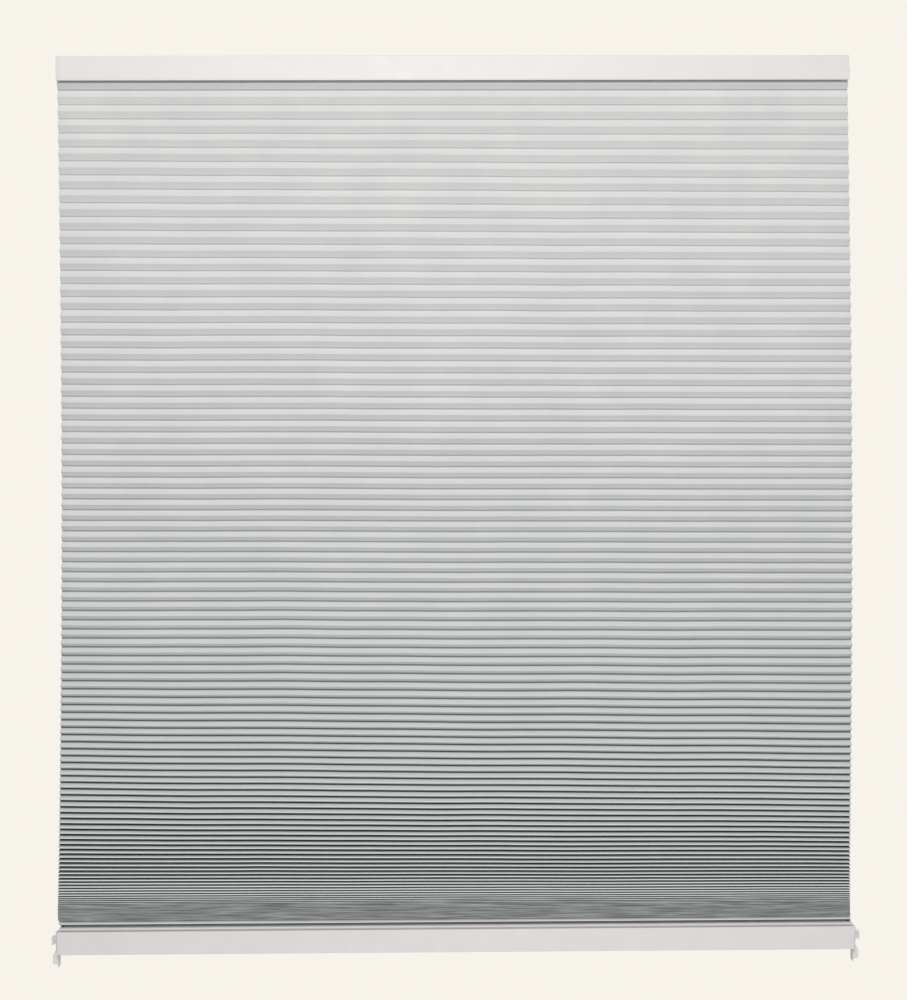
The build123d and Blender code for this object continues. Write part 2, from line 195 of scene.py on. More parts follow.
def makeDust():
    # faint dust on faces that look up, in soft patches
    tree, given, result = newTree(
        "settledDust", "ShaderNodeTree",
        [("Vector", "vector", None), ("Amount", "float", 0.3), ("Patch", "float", 0.03)],
        [("Mask", "float")])
    up = tree.nodes.new("ShaderNodeNewGeometry").outputs["Normal"]
    split = addNode(tree, "ShaderNodeSeparateXYZ", None, Vector=up)
    facing = remap(tree, split.outputs[2], 0.55, 1.0, 0.0, 1.0)
    patches = addNode(tree, "ShaderNodeTexNoise", None, Vector=given["Vector"],
                      Scale=calc(tree, "DIVIDE", 1.0, given["Patch"]), Detail=5.0)
    speck = remap(tree, patches.outputs["Fac"], 0.35, 0.75, 0.2, 1.0)
    feed(tree, calc(tree, "MULTIPLY", calc(tree, "MULTIPLY", facing, speck), given["Amount"]),
         result["Mask"])
    return tree


def makeFibre():
    # laid fibres of a non-woven cloth: long streaks across, short ones over them
    tree, given, result = newTree(
        "laidFibre", "ShaderNodeTree",
        [("Vector", "vector", None), ("Fibre", "float", 0.0005), ("Stretch", "float", 5.0)],
        [("Height", "float"), ("Mask", "float"), ("Cloud", "float")])
    scale = calc(tree, "DIVIDE", 1.0, given["Fibre"])
    split = addNode(tree, "ShaderNodeSeparateXYZ", None, Vector=given["Vector"])
    along = joinXYZ(tree, calc(tree, "DIVIDE", split.outputs[0], given["Stretch"]),
                    split.outputs[1], split.outputs[2])
    longFibre = addNode(tree, "ShaderNodeTexNoise", None, Vector=along, Scale=scale, Detail=1.5)
    cloud = addNode(tree, "ShaderNodeTexNoise", None, Vector=given["Vector"],
                    Scale=calc(tree, "MULTIPLY", scale, 0.012), Detail=2.0)
    feed(tree, longFibre.outputs["Fac"], result["Height"])
    feed(tree, longFibre.outputs["Fac"], result["Mask"])
    feed(tree, cloud.outputs["Fac"], result["Cloud"])
    return tree


grainGroup, dustGroup, fibreGroup = makeGrain(), makeDust(), makeFibre()


def newMaterial(name):
    material = bpy.data.materials.new(name)
    material.use_nodes = True
    tree = material.node_tree
    shader = tree.nodes["Principled BSDF"]
    place = tree.nodes.new("ShaderNodeTexCoord").outputs["Object"]
    return material, tree, shader, place


def useGroup(tree, group, **inputs):
    return addNode(tree, "ShaderNodeGroup", {"node_tree": group}, **inputs).outputs


def bump(tree, shader, height, distance, strength):
    node = addNode(tree, "ShaderNodeBump", None, Height=height, Distance=distance,
                   Strength=strength)
    tree.links.new(node.outputs["Normal"], shader.inputs["Normal"])


# materials
whiteCommon = dict(
    # painted shade line in the groove under the bottom rail's shoulder
    groove=deckZ - 0.0030, grooveShadeTone=(0.30, 0.295, 0.285, 1), grooveShadeDark=0.7,
    dust=(0.55, 0.53, 0.49, 1), dustAmount=0.35, dustPatch=0.02, dustRoughness=0.3,
    unevenness=0.7, grainStrength=0.5, smoother=0.05, rougher=0.07,
)
paintSetup = dict(
    colour=(0.825, 0.808, 0.80, 1), shade=(0.79, 0.775, 0.767, 1), roughness=0.42,
    grain=0.0007, grainDepth=0.00004, grooveWidth=0.0016, **whiteCommon,
)
plasticSetup = dict(
    colour=(0.825, 0.808, 0.80, 1), shade=(0.775, 0.762, 0.753, 1), roughness=0.48,
    grain=0.0004, grainDepth=0.00003, grooveWidth=0.0014, **whiteCommon,
)


def makeHardWhite(name, s):
    material, tree, shader, place = newMaterial(name)
    grain = useGroup(tree, grainGroup, Vector=place, Size=s["grain"],
                     Unevenness=s["unevenness"])
    dust = useGroup(tree, dustGroup, Vector=place, Amount=s["dustAmount"], Patch=s["dustPatch"])
    tone = mixColour(tree, remap(tree, grain["Mask"], 0.35, 0.65, 0.0, 1.0),
                     s["shade"], s["colour"])
    tone = mixColour(tree, dust["Mask"], tone, s["dust"])
    # painted shade: a dark line in the groove under the bottom rail's shoulder, where shade falls
    height = addNode(tree, "ShaderNodeSeparateXYZ", None, Vector=place).outputs[2]
    fromGroove = calc(tree, "ABSOLUTE", calc(tree, "SUBTRACT", height, s["groove"]))
    inGrooveShade = remap(tree, fromGroove, s["grooveWidth"] * 0.5, s["grooveWidth"],
                     s["grooveShadeDark"], 0.0)
    tone = mixColour(tree, inGrooveShade, tone, s["grooveShadeTone"])
    feed(tree, tone, shader.inputs["Base Color"])
    rough = remap(tree, grain["Mask"], 0.3, 0.7, s["roughness"] - s["smoother"],
                  s["roughness"] + s["rougher"])
    rough = calc(tree, "MULTIPLY_ADD", dust["Mask"], s["dustRoughness"], rough)
    feed(tree, rough, shader.inputs["Roughness"])
    bump(tree, shader, grain["Height"], s["grainDepth"], s["grainStrength"])
    return material


steelSetup = dict(
    colour=(0.58, 0.59, 0.60, 1), shade=(0.40, 0.41, 0.42, 1),
    roughness=0.36, smoother=0.08, rougher=0.1,
    grain=0.0012, grainDepth=0.00003, grainStrength=0.4, unevenness=0.5,
    spangle=450.0, spangleShare=0.35, grainShare=0.65,
)


def makeZincSteel(name, s):
    material, tree, shader, place = newMaterial(name)
    grain = useGroup(tree, grainGroup, Vector=place, Size=s["grain"],
                     Unevenness=s["unevenness"])
    spangle = addNode(tree, "ShaderNodeTexVoronoi", None, Vector=place, Scale=s["spangle"])
    mask = calc(tree, "MULTIPLY_ADD", spangle.outputs["Color"], s["spangleShare"],
                calc(tree, "MULTIPLY", grain["Mask"], s["grainShare"]))
    feed(tree, mixColour(tree, mask, s["shade"], s["colour"]), shader.inputs["Base Color"])
    feed(tree, remap(tree, mask, 0.2, 0.8, s["roughness"] - s["smoother"],
                     s["roughness"] + s["rougher"]), shader.inputs["Roughness"])
    shader.inputs["Metallic"].default_value = 1.0
    bump(tree, shader, grain["Height"], s["grainDepth"], s["grainStrength"])
    return material


cordSetup = dict(
    light=(0.80, 0.79, 0.76, 1), dark=(0.52, 0.51, 0.48, 1), roughness=0.8,
    plait=0.0012, lean=1.5, plaitDepth=0.0001, plaitStrength=0.6,
)


def makeBraid(name, s):
    # crossing diagonal bands round a thin cord
    material, tree, shader, place = newMaterial(name)
    split = addNode(tree, "ShaderNodeSeparateXYZ", None, Vector=place)
    turn = 2 * math.pi / s["plait"]
    bands = []
    for way in (1.0, -1.0):
        run = calc(tree, "ADD", split.outputs[2], split.outputs[0])
        phase = calc(tree, "MULTIPLY_ADD", split.outputs[1], way * s["lean"], run)
        bands.append(calc(tree, "SINE", calc(tree, "MULTIPLY", phase, turn)))
    weave = remap(tree, calc(tree, "MULTIPLY", bands[0], bands[1]), -1.0, 1.0, 0.0, 1.0)
    feed(tree, mixColour(tree, weave, s["dark"], s["light"]), shader.inputs["Base Color"])
    shader.inputs["Roughness"].default_value = s["roughness"]
    bump(tree, shader, weave, s["plaitDepth"], s["plaitStrength"])
    return material


clothSetup = dict(
    light=(0.82, 0.82, 0.805, 1), deep=(0.765, 0.77, 0.76, 1),
    coolShade=(0.775, 0.805, 0.815, 1),  # painted cool shade tint, where the cells lie close
    shade=(0.018, 0.022, 0.024, 1),  # kept in the folds, where little light reaches
    underShade=0.09,  # painted shade: the lower side of each cell, facing down, is a little greyer
    foldReach=0.12,  # how far out from the glue line an open fold is shaded, as a share
    closeReach=0.6, tightReach=1.0, underReach=1.4,  # added where cells lie close
    foldDark=0.34, closeDark=1.9,  # how dark a fold gets, open and close
    foldCurve=0.55, tightCurve=-0.25,
    tight=(0.58, 0.78),  # closeness over which folds become tight
    stack=(0.88, 0.93), stackShade=0.45,  # share of the fold shade left in the closed stack
    streaks=16.0, streakStep=0.83,  # across the width, and from cell to cell
    streakFrom=(0.84, 0.91), streakLow=0.12, streakHigh=0.58,  # how much light they lose
    fibre=0.0006, fibreStretch=6.0, fibreDepth=0.00005, fibreStrength=0.5,
    cloudShare=0.6, coolShadeGain=1.1,
    roughness=0.9, smoother=0.08, rougher=0.05,
    sheen=0.1, sheenRoughness=0.6, specular=0.25,
)


def makeClothMaterial(name, s):
    material, tree, shader, place = newMaterial(name)

    def c(operation, *values, clamp=False):
        return calc(tree, operation, *values, clamp=clamp)

    def stored(label):
        return addNode(tree, "ShaderNodeAttribute", {"attribute_name": label}).outputs["Fac"]

    fibre = useGroup(tree, fibreGroup, Vector=place, Fibre=s["fibre"],
                     Stretch=s["fibreStretch"])
    mottle = c("MULTIPLY_ADD", fibre["Cloud"], s["cloudShare"],
               c("MULTIPLY", fibre["Mask"], 1.0 - s["cloudShare"]))
    tone = mixColour(tree, remap(tree, mottle, 0.35, 0.65, 0.0, 1.0), s["deep"], s["light"])
    fall = stored("fall")
    packed = stored("packed")
    # painted shade: the cloth is tinted cooler where the cells lie close
    tone = mixColour(tree, c("MULTIPLY", packed, s["coolShadeGain"], clamp=True), tone, s["coolShade"])
    # 0 on a ridge, 1 at the glue line; the lower side of a fold is shaded further out
    crease = c("ABSOLUTE", c("MULTIPLY_ADD", fall, 2.0, -1.0))
    under = c("GREATER_THAN", fall, 0.501)
    # painted shade on the down-facing lower side of each cell
    tone = mixColour(tree, c("MULTIPLY", under, s["underShade"]), tone, s["shade"])
    tight = remap(tree, packed, *s["tight"], 0.0, 1.0)
    close = c("MULTIPLY", packed, packed)
    upperReach = c("MULTIPLY_ADD", tight, s["tightReach"], s["closeReach"])
    widest = c("MAXIMUM", upperReach, c("MULTIPLY", under, s["underReach"]))
    reach = c("MINIMUM", c("MULTIPLY_ADD", close, widest, s["foldReach"]), 1.0)
    edge = c("DIVIDE", c("SUBTRACT", crease, c("SUBTRACT", 1.0, reach)), reach, clamp=True)
    curve = c("MULTIPLY_ADD", tight, s["tightCurve"], s["foldCurve"])
    strength = c("MULTIPLY_ADD", close, s["closeDark"], s["foldDark"], clamp=True)
    strength = c("MULTIPLY", strength, remap(tree, packed, *s["stack"], 1.0, s["stackShade"]))
    tone = mixColour(tree, c("MULTIPLY", c("POWER", edge, curve), strength), tone, s["shade"])
    # closed ridges lie unevenly, so some catch less light than others
    across = stored("across")
    cell = stored("cell")
    streakPlace = joinXYZ(tree, c("MULTIPLY", across, s["streaks"]),
                          c("MULTIPLY", cell, s["streakStep"]), 0.0)
    streak = addNode(tree, "ShaderNodeTexNoise", None, Vector=streakPlace, Scale=1.0, Detail=2.0)
    uneven = remap(tree, streak.outputs["Fac"], 0.38, 0.62, s["streakLow"], s["streakHigh"])
    uneven = c("MULTIPLY", uneven, remap(tree, packed, *s["streakFrom"], 0.0, 1.0))
    tone = mixColour(tree, uneven, tone, s["shade"])
    feed(tree, tone, shader.inputs["Base Color"])
    feed(tree, remap(tree, fibre["Mask"], 0.3, 0.7, s["roughness"] - s["smoother"],
                     s["roughness"] + s["rougher"]), shader.inputs["Roughness"])
    shader.inputs["Sheen Weight"].default_value = s["sheen"]
    shader.inputs["Sheen Roughness"].default_value = s["sheenRoughness"]
    shader.inputs["Specular IOR Level"].default_value = s["specular"]
    bump(tree, shader, fibre["Height"], s["fibreDepth"], s["fibreStrength"])
    return material


railPaint = makeHardWhite("railPaint", paintSetup)
whitePlastic = makeHardWhite("whitePlastic", plasticSetup)
zincSteel = makeZincSteel("zincSteel", steelSetup)
cordBraid = makeBraid("cordBraid", cordSetup)
cellCloth = makeClothMaterial("cellCloth", clothSetup)
slotMaterials = {"rail_white": railPaint, "white_plastic": whitePlastic, "spring_steel": zincSteel,
                 "cord_white": cordBraid, "cell_cloth": cellCloth}
for part in frame["record"]["subparts"]:
    mesh = frame["nodes"][part["node"]].data
    mesh.materials.clear()
    mesh.materials.append(slotMaterials[part["material_slot"]])
print("materials made")


# honeycomb cloth
clothCut = dict(
    cells=114,
    facet=0.011,  # valley to ridge along the cloth
    web=0.006,  # glued strip between two cells
    thick=0.00025,
    closedPitch=0.0010,
    lastOpen=99.0,  # cells below this one lie closed
    linear=0.8375,  # share of the pitch's fall that is linear, the rest goes with the third power
    tuck=0.0043,  # the top cell is held this much flatter by the head rail
    slack=0.0070,  # the lowest cell stands this much more open
    width=clothHigh.x - clothLow.x + 0.0015,
    top=stripLow.z - 0.00025,
    bottom=deckZ + 0.0003,
    middle=midY,
    steps=36,  # lengths across the width
    nose=0.0008,  # half the height of a ridge's blunt edge where the cells are closed
    slump=0.0060,  # how much lower the pleats lie on the right, all the way down
    slumpLow=0.0075,  # and again above the stack
    sway=0.0050,
    drift=-0.0026,
    ripple=0.0015,
    jitter=0.0016,
    seed=4.0,
    leastNose=0.00015, bluntLimit=0.19,  # the blunt edge is at most this share of the pitch
    slumpStart=9.0, slumpEnd=18.0,  # how sharply the slump sets in and stops
    bellPlace=0.83, bellWidth=0.13,  # the low slump, in shares of the drop
    rippleAcross=5.0, rippleDown=0.035, rippleRoom=12.0,
    jitterAcross=9.0, jitterDown=3.7, jitterSeed=7.0,
    driftEnd=150.0,  # the drift stops only just above the bottom rail
    apart=10.0, weld=0.000002,  # cells stand apart while each is closed on itself
)


def makeHoneycombTree(s):
    tree, given, result = newTree("honeycombCells", "GeometryNodeTree", [
        ("Cells", "int", 114), ("Facet", "float", 0.011), ("Web", "float", 0.006),
        ("Thickness", "float", 0.00025), ("Closed Pitch", "float", 0.0014),
        ("Last Open", "float", 98.0), ("Linear", "float", 0.85), ("Tuck", "float", 0.0),
        ("Slack", "float", 0.0), ("Width", "float", 1.0), ("Top", "float", 0.0),
        ("Bottom", "float", -1.0), ("Middle", "float", 0.0), ("Steps", "int", 36),
        ("Nose", "float", 0.001), ("Slump", "float", 0.0), ("Slump Low", "float", 0.0),
        ("Sway", "float", 0.0), ("Drift", "float", 0.0), ("Ripple", "float", 0.0),
        ("Jitter", "float", 0.0), ("Seed", "float", 0.0), ("Cloth", "material", None),
    ], [("Geometry", "geometry")])

    def c(operation, *values, clamp=False):
        return calc(tree, operation, *values, clamp=clamp)

    def stored(geometry, name, value):
        node = addNode(tree, "GeometryNodeStoreNamedAttribute",
                       {"data_type": "FLOAT", "domain": "POINT"},
                       Geometry=geometry, Name=name, Value=value)
        return node.outputs["Geometry"]

    def attribute(name):
        return addNode(tree, "GeometryNodeInputNamedAttribute", {"data_type": "FLOAT"},
                       Name=name).outputs["Attribute"]

    # one cell as a sheet of points: 8 round the section, out along the skin and back inside it
    index = tree.nodes.new("GeometryNodeInputIndex").outputs[0]
    ring, steps = 8, given["Steps"]
    around = c("MULTIPLY_ADD", steps, 2.0, 3.0)  # skin and lining, and one to close on the first
    grid = addNode(tree, "GeometryNodeMeshGrid", None, Vertices_X=ring + 1, Vertices_Y=around)
    column = c("FLOOR", c("DIVIDE", c("ADD", index, 0.5), around))
    row = c("SUBTRACT", index, c("MULTIPLY", column, around))
    corner = c("MODULO", column, float(ring))
    lining = c("MULTIPLY", c("GREATER_THAN", row, c("ADD", steps, 0.5)),
               c("LESS_THAN", row, c("ADD", c("MULTIPLY", steps, 2.0), 1.5)))
    back = c("SUBTRACT", c("MULTIPLY_ADD", steps, 2.0, 1.0), row)
    across = c("DIVIDE", c("MAXIMUM", 0.0, c("MINIMUM", row, back)), steps)
    skin = stored(grid.outputs["Mesh"], "corner", corner)
    skin = stored(skin, "lining", lining)
    skin = stored(skin, "across", across)

    # the pile of cells
    line = addNode(tree, "GeometryNodeMeshLine", None, Count=given["Cells"])
    pile = stored(line.outputs["Mesh"], "cell", index)
    copies = addNode(tree, "GeometryNodeInstanceOnPoints", None, Points=pile, Instance=skin)
    real = addNode(tree, "GeometryNodeRealizeInstances", None, Geometry=copies.outputs["Instances"])

    corner, lining, across, cell = (attribute(n) for n in ("corner", "lining", "across", "cell"))
    # 0 is the upper web, 1 and 2 the ridge, 3 the lower web
    half = c("MINIMUM", corner, c("SUBTRACT", ring - 1.0, corner))
    side = c("SUBTRACT", 1.0, c("MULTIPLY", 2.0, c("GREATER_THAN", corner, 3.5)))
    ridge = c("LESS_THAN", c("ABSOLUTE", c("SUBTRACT", half, 1.5)), 1.0)
    # pitch of cell n is closed + spare * (1 - a u - (1 - a) u^3), u = (n + 1/2) / last open
    lastOpen = given["Last Open"]
    cubic = c("SUBTRACT", 1.0, given["Linear"])

    def openShare(n):
        # sum of the shares of the first n cells
        m = c("MINIMUM", n, lastOpen)
        square = c("MULTIPLY", m, m)
        first = c("DIVIDE", c("MULTIPLY", given["Linear"], square), c("MULTIPLY", 2.0, lastOpen))
        fourth = c("SUBTRACT", c("DIVIDE", c("MULTIPLY", square, square), 4.0),
                   c("DIVIDE", square, 8.0))
        third = c("DIVIDE", c("MULTIPLY", cubic, fourth), c("POWER", lastOpen, 3.0))
        return c("SUBTRACT", c("SUBTRACT", m, first), third)

    # where the row would begin if no cell were tucked in
    start = c("ADD", given["Top"], given["Tuck"])
    length = c("SUBTRACT", c("SUBTRACT", start, given["Bottom"]), given["Slack"])
    spare = c("DIVIDE", c("SUBTRACT", length, c("MULTIPLY", given["Cells"], given["Closed Pitch"])),
              openShare(given["Cells"]))

    def lineHeight(n):
        regular = c("ADD", c("MULTIPLY", n, given["Closed Pitch"]),
                    c("MULTIPLY", spare, openShare(n)))
        last = c("GREATER_THAN", n, c("SUBTRACT", given["Cells"], 0.5))
        return c("MULTIPLY_ADD", last, given["Slack"], c("MAXIMUM", regular, given["Tuck"]))

    upper, lower = lineHeight(cell), lineHeight(c("ADD", cell, 1.0))
    pitch = c("SUBTRACT", lower, upper)
    closeness = c("SUBTRACT", 1.0, c("DIVIDE", pitch, c("ADD", spare, given["Closed Pitch"])))
    noseHere = c("MULTIPLY_ADD", given["Nose"], c("MULTIPLY", closeness, closeness),
                 s["leastNose"])
    blunt = c("MINIMUM", s["bluntLimit"], c("DIVIDE", noseHere, pitch))
    offset = c("ADD", c("MULTIPLY", ridge, blunt), c("MULTIPLY", c("SUBTRACT", 1.0, ridge), 0.5))
    level = c("MULTIPLY_ADD", c("SIGN", c("SUBTRACT", half, 1.5)), offset, 0.5)
    halfPitch = c("MULTIPLY", pitch, 0.5)
    depth = c("SQRT", c("SUBTRACT", c("MULTIPLY", given["Facet"], given["Facet"]),
                        c("MULTIPLY", halfPitch, halfPitch)))
    drop = c("MULTIPLY_ADD", pitch, level, upper)
    share = c("DIVIDE", c("SUBTRACT", drop, given["Tuck"]),
              c("SUBTRACT", given["Top"], given["Bottom"]))

    # lining: one thickness of cloth further in
    inZ = c("MULTIPLY", c("DIVIDE", c("MULTIPLY", given["Thickness"], given["Facet"]), depth),
            c("MULTIPLY", lining, c("SUBTRACT", 1.0, ridge)))
    inY = c("MULTIPLY", c("DIVIDE", c("MULTIPLY", given["Thickness"], given["Facet"]), halfPitch),
            c("MULTIPLY", lining, ridge))

    # how the pleats lie: slump to the right, sideways sway, and ripples that neighbours share
    x = c("SUBTRACT", across, 0.5)
    fadeLow = c("SUBTRACT", 1.0, c("POWER", share, s["slumpEnd"]))
    rise = c("MINIMUM", 1.0, c("MULTIPLY", share, s["slumpStart"]))
    fromBell = c("ABSOLUTE", c("DIVIDE", c("SUBTRACT", share, s["bellPlace"]), s["bellWidth"]))
    bell = c("EXPONENT", c("MULTIPLY", -1.0, c("POWER", fromBell, 2.0)))
    lean = c("MULTIPLY", fadeLow, c("ADD", c("MULTIPLY", given["Slump"], rise),
                                    c("MULTIPLY", given["Slump Low"], bell)))
    foldLine = c("ADD", cell, level)
    rippleNoise = addNode(tree, "ShaderNodeTexNoise", {"noise_dimensions": "4D"},
                          Vector=joinXYZ(tree, c("MULTIPLY", across, s["rippleAcross"]),
                                         c("MULTIPLY", foldLine, s["rippleDown"]), 0.0),
                          W=given["Seed"], Scale=1.0, Detail=2.5)
    toEnds = c("MULTIPLY", share, c("SUBTRACT", 1.0, share))
    room = c("MINIMUM", 1.0, c("MULTIPLY", toEnds, s["rippleRoom"]))
    ripple = c("MULTIPLY", c("MULTIPLY", c("SUBTRACT", rippleNoise.outputs["Fac"], 0.5), 2.0),
               c("MULTIPLY", given["Ripple"], room))
    jitterNoise = addNode(tree, "ShaderNodeTexNoise", {"noise_dimensions": "4D"},
                          Vector=joinXYZ(tree, c("MULTIPLY", across, s["jitterAcross"]),
                                         c("MULTIPLY", cell, s["jitterDown"]), side),
                          W=c("ADD", given["Seed"], s["jitterSeed"]), Scale=1.0, Detail=1.5)
    jitter = c("MULTIPLY", c("MULTIPLY", c("SUBTRACT", jitterNoise.outputs["Fac"], 0.5), 2.0),
               c("MULTIPLY", c("MULTIPLY", given["Jitter"], ridge), c("POWER", closeness, 2.0)))

    swayX = c("MULTIPLY", given["Sway"], c("SINE", c("MULTIPLY", share, math.pi)))
    held = c("SUBTRACT", 1.0, c("POWER", share, s["driftEnd"]))
    driftX = c("MULTIPLY", c("MULTIPLY", given["Drift"], share), held)
    placeX = c("MULTIPLY_ADD", x, given["Width"], c("ADD", swayX, driftX))
    stand = c("ADD", c("MULTIPLY", given["Web"], 0.5),
              c("SUBTRACT", c("MULTIPLY", ridge, c("ADD", depth, jitter)), inY))
    placeY = c("MULTIPLY_ADD", side, stand, given["Middle"])
    sag = c("ADD", c("MULTIPLY", lean, x), ripple)
    inward = c("MULTIPLY", inZ, c("SUBTRACT", 1.0, c("MULTIPLY", 2.0, level)))
    placeZ = c("SUBTRACT", c("SUBTRACT", start, drop), c("ADD", sag, inward))
    moved = addNode(tree, "GeometryNodeSetPosition", None, Geometry=real.outputs["Geometry"],
                    Position=joinXYZ(tree, placeX, placeY, placeZ))
    onFacet = c("MULTIPLY", c("SUBTRACT", 1.0, ridge), 0.5)
    fall = c("MULTIPLY_ADD", c("SIGN", c("SUBTRACT", half, 1.5)), onFacet, 0.5)
    shaded = stored(moved.outputs["Geometry"], "fall", fall)
    shaded = stored(shaded, "packed", closeness)

    # close each cell on itself: its own first and last column and row meet
    key = c("MULTIPLY", cell, s["apart"])
    spread = addNode(tree, "GeometryNodeSetPosition", None, Geometry=shaded,
                     Offset=joinXYZ(tree, 0.0, key, 0.0))
    welded = addNode(tree, "GeometryNodeMergeByDistance", None, Geometry=spread.outputs["Geometry"],
                     Distance=s["weld"])
    gathered = addNode(tree, "GeometryNodeSetPosition", None, Geometry=welded.outputs["Geometry"],
                       Offset=joinXYZ(tree, 0.0, c("MULTIPLY", key, -1.0), 0.0))
    whole = addNode(tree, "GeometryNodeRealizeInstances", None,
                    Geometry=gathered.outputs["Geometry"])
    dressed = addNode(tree, "GeometryNodeSetMaterial", None, Geometry=whole.outputs["Geometry"],
                      Material=given["Cloth"])
    feed(tree, dressed.outputs["Geometry"], result["Geometry"])
    return tree


def growMesh(name, tree, values):
    # runs a geometry tree with these inputs and keeps the result as a plain mesh
    holder = bpy.data.objects.new(name + "Source", bpy.data.meshes.new(name + "Source"))
    bpy.context.collection.objects.link(holder)
    modifier = holder.modifiers.new("grow", "NODES")
    modifier.node_group = tree
    for item in tree.interface.items_tree:
        if item.in_out == "INPUT" and item.name in values:
            modifier[item.identifier] = values[item.name]
    graph = bpy.context.evaluated_depsgraph_get()
    mesh = bpy.data.meshes.new_from_object(holder.evaluated_get(graph))
    mesh.name = name
    holder.modifiers.clear()
    bpy.data.objects.remove(holder)
    piece = bpy.data.objects.new(name, mesh)
    bpy.context.collection.objects.link(piece)
    return piece


def makeCloth(s):
    piece = growMesh("honeycombCloth", makeHoneycombTree(s), {
        "Cells": s["cells"], "Facet": s["facet"], "Web": s["web"], "Thickness": s["thick"],
        "Closed Pitch": s["closedPitch"], "Last Open": s["lastOpen"], "Linear": s["linear"],
        "Tuck": s["tuck"], "Slack": s["slack"], "Width": s["width"], "Top": s["top"],
        "Bottom": s["bottom"], "Middle": s["middle"], "Steps": s["steps"], "Nose": s["nose"],
        "Slump": s["slump"], "Slump Low": s["slumpLow"], "Sway": s["sway"],
        "Drift": s["drift"], "Ripple": s["ripple"],
        "Jitter": s["jitter"], "Seed": s["seed"], "Cloth": cellCloth})
    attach(piece, "head")
    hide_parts("honeycomb_cloth")
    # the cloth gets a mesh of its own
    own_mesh(piece)
    return piece


cloth = makeCloth(clothCut)
print("cloth made:", len(cloth.data.polygons), "faces")


# hems that hold the cloth in the two rails
hemCut = dict(
    inset=0.00345,  # from the cloth's edge to the trimmed hem
    gap=0.0003,  # round the strip
    neck=0.006,
    glue=0.0001,  # under the lowest cell
)


def ringBetween(shape, outer, inner, x0, x1):
    # a hollow bar along X: outer and inner are the (y, z) corners of its section
    rows = [[shape.verts.new((x, y, z)) for y, z in loop]
            for x in (x0, x1) for loop in (outer, inner)]
    count = len(outer)
    for a, b in ((0, 2), (3, 1), (1, 0), (2, 3)):
        for n in range(count):
            m = (n + 1) % count
            shape.faces.new((rows[a][n], rows[a][m], rows[b][m], rows[b][n]))


def rectangleCorners(halfWidth, low, high):
    front, back = midY - halfWidth, midY + halfWidth
    return [(front, low), (back, low), (back, high), (front, high)]


def makeHem(name, body, strip, neckTop, s):
    low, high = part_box(strip)
    half = (high.y - low.y) / 2 + s["gap"]
    thick = clothCut["thick"]
    floorGap = 0.0 if neckTop is None else s["gap"]
    x0, x1 = clothLow.x + s["inset"], clothHigh.x - s["inset"]
    shape = bmesh.new()
    outer = rectangleCorners(half + thick, low.z - floorGap - thick, high.z + s["gap"] + thick)
    inner = rectangleCorners(half, low.z - floorGap, high.z + s["gap"])
    ringBetween(shape, outer, inner, x0, x1)
    if neckTop is not None:
        wide = s["neck"] / 2
        outer = rectangleCorners(wide, high.z + s["gap"] + thick, neckTop)
        inner = rectangleCorners(wide - thick, high.z + s["gap"] + 2 * thick, neckTop - thick)
        ringBetween(shape, outer, inner, x0, x1)
    bmesh.ops.recalc_face_normals(shape, faces=shape.faces)
    mesh = bpy.data.meshes.new(name)
    shape.to_mesh(mesh)
    shape.free()
    mesh.materials.append(cellCloth)
    piece = bpy.data.objects.new(name, mesh)
    bpy.context.collection.objects.link(piece)
    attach(piece, body)
    return piece


hems = [makeHem("hemInHeadRail", "head", "cloth_head_strip", None, hemCut),
        makeHem("hemInBottomRail", "foot", "cloth_foot_strip",
                clothCut["bottom"] - hemCut["glue"], hemCut)]
print("hems made")


# moulded and pressed pieces: their edges softened
softEdges = dict(
    head_end_cap_left=0.00070, head_end_cap_right=0.00070,
    bottom_end_cap_left=0.00045, bottom_end_cap_right=0.00045,
    side_clip_left=0.00035, side_clip_right=0.00035,
    mounting_bracket_left=0.00030, mounting_bracket_right=0.00030,
    cord_guide_left=0.00025, cord_guide_right=0.00025,
    motor_cover=0.00030,
)
softSetup = dict(weld=0.00001, flat=math.radians(1), sharp=math.radians(35), segments=2)
bodyOf = {node: body for body, nodes in frame["record"]["behaviour"]["bodies"].items()
          for node in nodes}
slotOf = {part["node"]: part["material_slot"] for part in frame["record"]["subparts"]}


def plainMesh(piece):
    # live modifiers become part of the mesh
    graph = bpy.context.evaluated_depsgraph_get()
    mesh = bpy.data.meshes.new_from_object(piece.evaluated_get(graph))
    piece.modifiers.clear()
    piece.data = mesh


def softenEdges(node, radius, s):
    shape = bmesh.new()
    shape.from_mesh(frame["nodes"][node].data)
    bmesh.ops.remove_doubles(shape, verts=shape.verts, dist=s["weld"])
    bmesh.ops.dissolve_limit(shape, angle_limit=s["flat"], verts=shape.verts, edges=shape.edges)
    mesh = bpy.data.meshes.new(node + "Soft")
    shape.to_mesh(mesh)
    shape.free()
    mesh.materials.clear()
    mesh.materials.append(slotMaterials[slotOf[node]])
    piece = bpy.data.objects.new(node + "Soft", mesh)
    bpy.context.collection.objects.link(piece)
    bevel = piece.modifiers.new("soften", "BEVEL")
    bevel.width, bevel.segments, bevel.limit_method = radius, s["segments"], "ANGLE"
    bevel.angle_limit, bevel.use_clamp_overlap = s["sharp"], True
    plainMesh(piece)
    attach(piece, bodyOf[node])
    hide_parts(node)


for node, radius in softEdges.items():
    softenEdges(node, radius, softSetup)
print("edges softened on", len(softEdges), "pieces")


# lift cords: from the spool over the roller, then down through the cells to a knot
cordCut = dict(
    radius=0.00045,
    spoolRun=0.0110,  # from a spool's axis to the cord
    turn=0.00475,  # radius of the bend over the roller
    height=0.0020,
    tailBelow=0.001,  # from the anchor's lower face to the knot
    knot=0.0011, knotTwist=0.4, knotDrop=0.0006, knotPoints=12,
)


